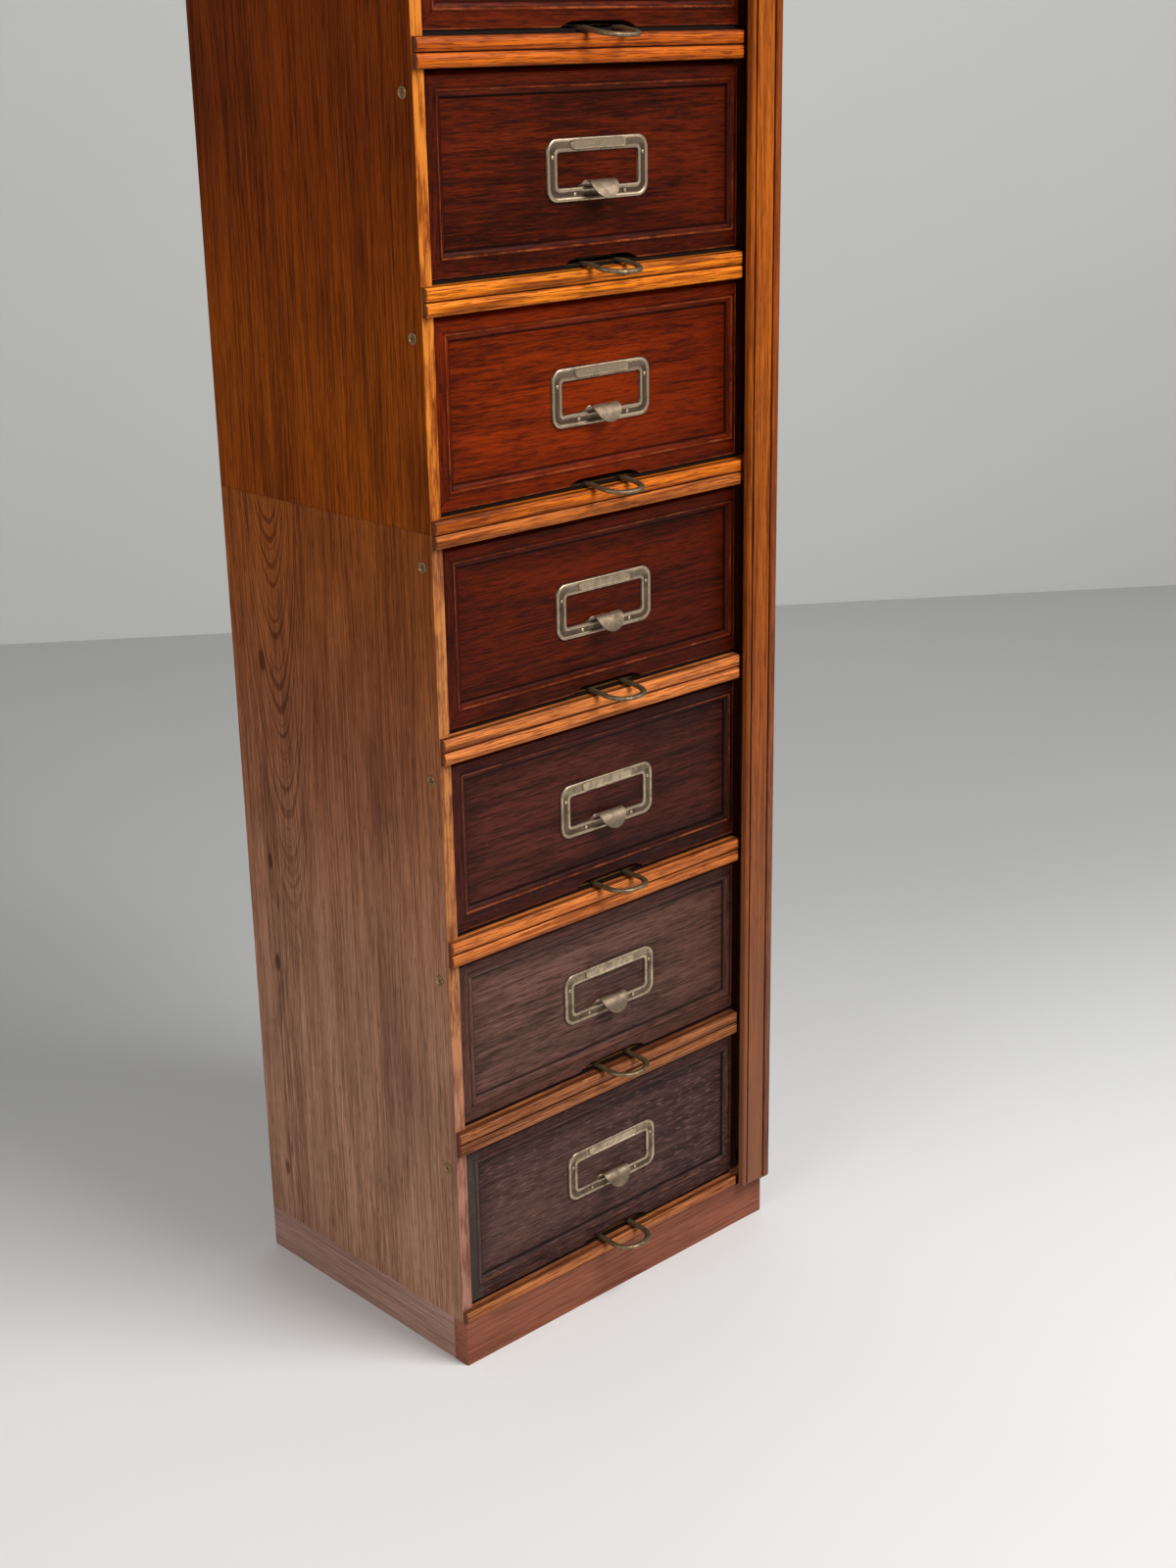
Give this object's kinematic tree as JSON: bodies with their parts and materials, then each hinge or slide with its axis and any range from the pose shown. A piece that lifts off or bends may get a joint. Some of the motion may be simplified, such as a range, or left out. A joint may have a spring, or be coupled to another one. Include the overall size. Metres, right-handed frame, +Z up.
{
  "type": "filing chest",
  "caption": "Tall narrow filing chest with lift-up panelled fronts over sliding file trays, wire loop pulls, label holders and a hinged reeded locking bar, on a plinth.",
  "frame": {"origin": "on the floor, under the middle of the whole chest's bounding box", "axes": "+Z up, the fronts face -Y, +X to the right of a person facing the fronts"},
  "size_m": [0.416, 0.335, 1.546],
  "materials": {
    "side_oak": "satin, worn",
    "rail_oak": "satin",
    "inner_wood": "matt",
    "front_wood": "polished, worn",
    "plinth_wood": "polished",
    "tray_wood": "matt",
    "holder_nickel": "aged nickel",
    "loop_bronze": "aged bronze",
    "lock_brass": "aged brass",
    "screw_steel": "dull"
  },
  "bodies": {
    "case": {"plinth_front_board": "plinth_wood", "plinth_frame": "plinth_wood", "top_board": "side_oak", "bar_batten": "rail_oak", "bar_pivots": "screw_steel", "front_pivots": "screw_steel", "lower_left_side": "side_oak", "lower_right_side": "side_oak", "lower_inner_upright": "inner_wood", "lower_shelves": "rail_oak", "lower_end_boards": "rail_oak", "lower_back_panel": "inner_wood", "upper_left_side": "side_oak", "upper_right_side": "side_oak", "upper_inner_upright": "inner_wood", "upper_shelves": "rail_oak", "upper_end_boards": "rail_oak", "upper_back_panel": "inner_wood"},
    "bar": {"lock_bar": "rail_oak", "bar_lock": "lock_brass"},
    "front_1": {"front_frame_1": "front_wood", "front_panel_1": "front_wood", "label_holder_1": "holder_nickel"},
    "tray_1": {"file_tray_1": "tray_wood", "pull_loop_1": "loop_bronze"},
    "front_2": {"front_frame_2": "front_wood", "front_panel_2": "front_wood", "label_holder_2": "holder_nickel"},
    "tray_2": {"file_tray_2": "tray_wood", "pull_loop_2": "loop_bronze"},
    "front_3": {"front_frame_3": "front_wood", "front_panel_3": "front_wood", "label_holder_3": "holder_nickel"},
    "tray_3": {"file_tray_3": "tray_wood", "pull_loop_3": "loop_bronze"},
    "front_4": {"front_frame_4": "front_wood", "front_panel_4": "front_wood", "label_holder_4": "holder_nickel"},
    "tray_4": {"file_tray_4": "tray_wood", "pull_loop_4": "loop_bronze"},
    "front_5": {"front_frame_5": "front_wood", "front_panel_5": "front_wood", "label_holder_5": "holder_nickel"},
    "tray_5": {"file_tray_5": "tray_wood", "pull_loop_5": "loop_bronze"},
    "front_6": {"front_frame_6": "front_wood", "front_panel_6": "front_wood", "label_holder_6": "holder_nickel"},
    "tray_6": {"file_tray_6": "tray_wood", "pull_loop_6": "loop_bronze"},
    "front_7": {"front_frame_7": "front_wood", "front_panel_7": "front_wood", "label_holder_7": "holder_nickel"},
    "tray_7": {"file_tray_7": "tray_wood", "pull_loop_7": "loop_bronze"},
    "front_8": {"front_frame_8": "front_wood", "front_panel_8": "front_wood", "label_holder_8": "holder_nickel"},
    "tray_8": {"file_tray_8": "tray_wood", "pull_loop_8": "loop_bronze"}
  },
  "joints": [
    {"name": "lift_front_1", "type": "hinge", "parent": "case", "child": "front_1", "pos_m": [0, -0.1185, 0.2005], "axis": [-1, 0, 0], "range_deg": [0, 95]},
    {"name": "slide_tray_1", "type": "slide", "parent": "case", "child": "tray_1", "axis": [0, -1, 0], "range_m": [0, 0.18]},
    {"name": "lift_front_2", "type": "hinge", "parent": "case", "child": "front_2", "pos_m": [0, -0.1185, 0.3855], "axis": [-1, 0, 0], "range_deg": [0, 95]},
    {"name": "slide_tray_2", "type": "slide", "parent": "case", "child": "tray_2", "axis": [0, -1, 0], "range_m": [0, 0.18]},
    {"name": "lift_front_3", "type": "hinge", "parent": "case", "child": "front_3", "pos_m": [0, -0.1185, 0.5705], "axis": [-1, 0, 0], "range_deg": [0, 95]},
    {"name": "slide_tray_3", "type": "slide", "parent": "case", "child": "tray_3", "axis": [0, -1, 0], "range_m": [0, 0.18]},
    {"name": "lift_front_4", "type": "hinge", "parent": "case", "child": "front_4", "pos_m": [0, -0.1185, 0.7555], "axis": [-1, 0, 0], "range_deg": [0, 95]},
    {"name": "slide_tray_4", "type": "slide", "parent": "case", "child": "tray_4", "axis": [0, -1, 0], "range_m": [0, 0.18]},
    {"name": "lift_front_5", "type": "hinge", "parent": "case", "child": "front_5", "pos_m": [0, -0.1185, 0.9405], "axis": [-1, 0, 0], "range_deg": [0, 95]},
    {"name": "slide_tray_5", "type": "slide", "parent": "case", "child": "tray_5", "axis": [0, -1, 0], "range_m": [0, 0.18]},
    {"name": "lift_front_6", "type": "hinge", "parent": "case", "child": "front_6", "pos_m": [0, -0.1185, 1.1255], "axis": [-1, 0, 0], "range_deg": [0, 95]},
    {"name": "slide_tray_6", "type": "slide", "parent": "case", "child": "tray_6", "axis": [0, -1, 0], "range_m": [0, 0.18]},
    {"name": "lift_front_7", "type": "hinge", "parent": "case", "child": "front_7", "pos_m": [0, -0.1185, 1.3105], "axis": [-1, 0, 0], "range_deg": [0, 95]},
    {"name": "slide_tray_7", "type": "slide", "parent": "case", "child": "tray_7", "axis": [0, -1, 0], "range_m": [0, 0.18]},
    {"name": "lift_front_8", "type": "hinge", "parent": "case", "child": "front_8", "pos_m": [0, -0.1185, 1.4955], "axis": [-1, 0, 0], "range_deg": [0, 95]},
    {"name": "slide_tray_8", "type": "slide", "parent": "case", "child": "tray_8", "axis": [0, -1, 0], "range_m": [0, 0.18]},
    {"name": "turn_bar", "type": "hinge", "parent": "case", "child": "bar", "pos_m": [0.188, -0.1435, 0.784], "axis": [0, 0, 1], "range_deg": [0, 95]}
  ]
}
